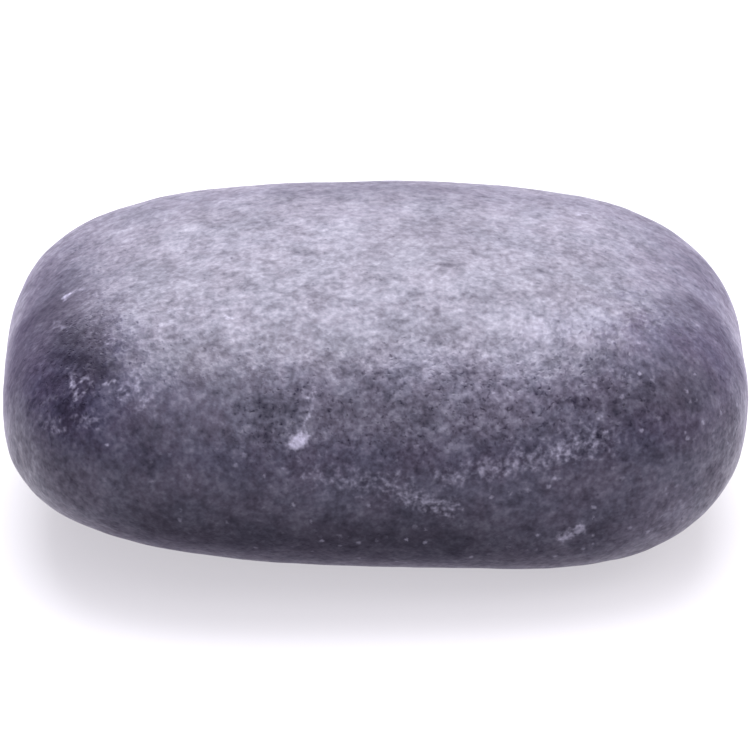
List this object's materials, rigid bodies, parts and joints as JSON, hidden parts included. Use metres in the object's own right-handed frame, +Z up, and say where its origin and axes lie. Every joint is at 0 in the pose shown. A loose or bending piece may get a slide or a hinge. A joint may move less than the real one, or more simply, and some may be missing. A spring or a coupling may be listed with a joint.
{
  "type": "basalt massage stone",
  "caption": "Smooth, rounded pebble of dark grey basalt, held in the hand or laid on the body warm or cold for massage; it rests on a small level foot.",
  "frame": {"origin": "centre of the bounding box's bottom, in the plane of the level foot on the belly that the stone rests on", "axes": "+X along the stone towards its fuller end, +Y across it towards its back, +Z up through the crown"},
  "size_m": [0.09, 0.0622, 0.0367],
  "materials": {
    "basalt": "satin"
  },
  "bodies": {
    "root": {"stone": "basalt"}
  },
  "joints": []
}
